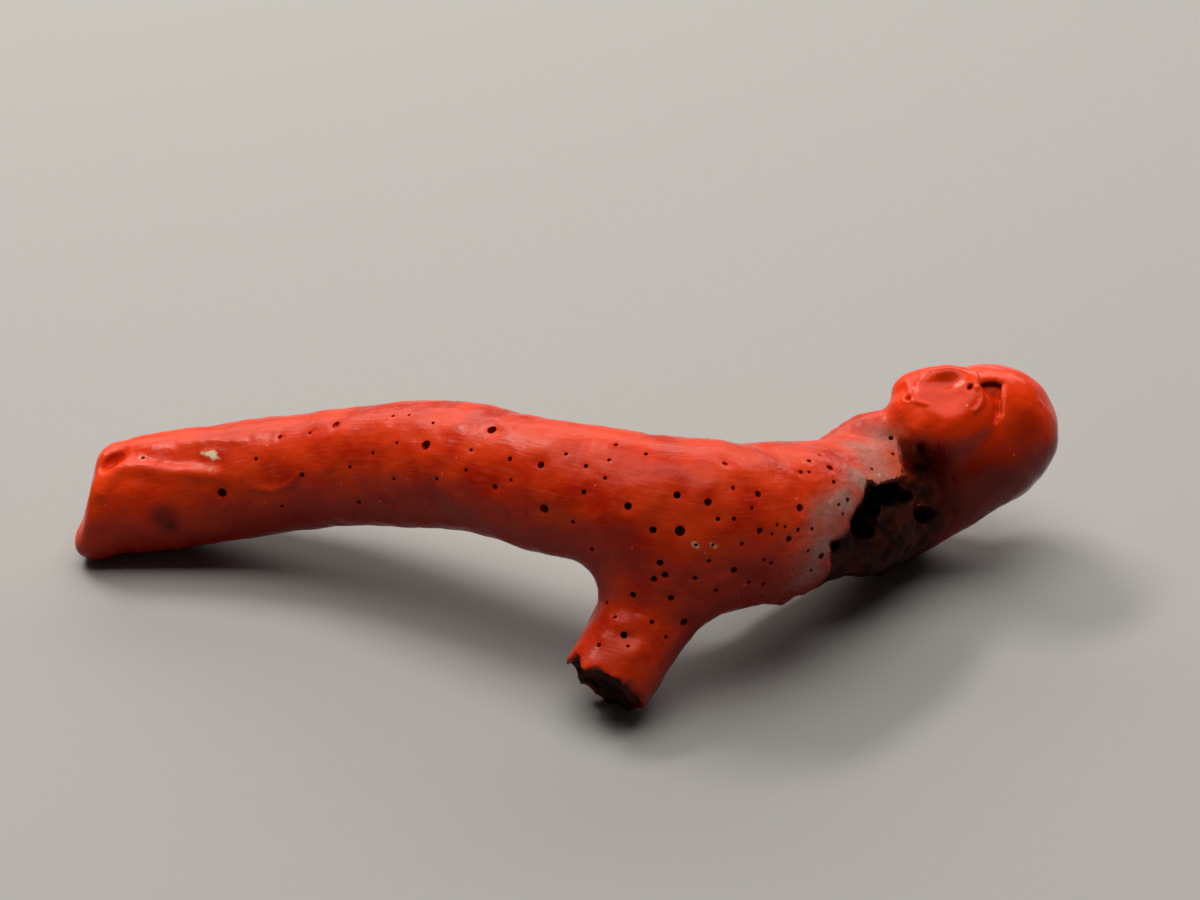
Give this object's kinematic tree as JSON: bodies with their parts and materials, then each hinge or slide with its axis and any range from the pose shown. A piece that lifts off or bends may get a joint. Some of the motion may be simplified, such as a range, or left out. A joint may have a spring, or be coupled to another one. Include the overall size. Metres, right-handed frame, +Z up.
{
  "type": "red coral branch",
  "caption": "Loose broken branch of polished red coral: a long curved limb, a short side stub and a bored trunk that ends in a knobbly head, lying as found.",
  "frame": {"origin": "centre of the footprint, on the surface that the branch lies on", "axes": "+Z up from the surface; +X along the branch from the long limb's broken tip to the knobbly head; -Y towards the short side stub"},
  "size_m": [0.0545, 0.0214, 0.0124],
  "materials": {
    "polished_coral": "satin gloss, waxy",
    "bored_coral": "satin, dusty towards the broken crust",
    "knob_coral": "satin gloss"
  },
  "bodies": {
    "root": {"long_branch": "polished_coral", "side_stub": "polished_coral", "trunk": "bored_coral", "end_knob": "knob_coral", "knob_bud": "knob_coral"}
  },
  "joints": []
}
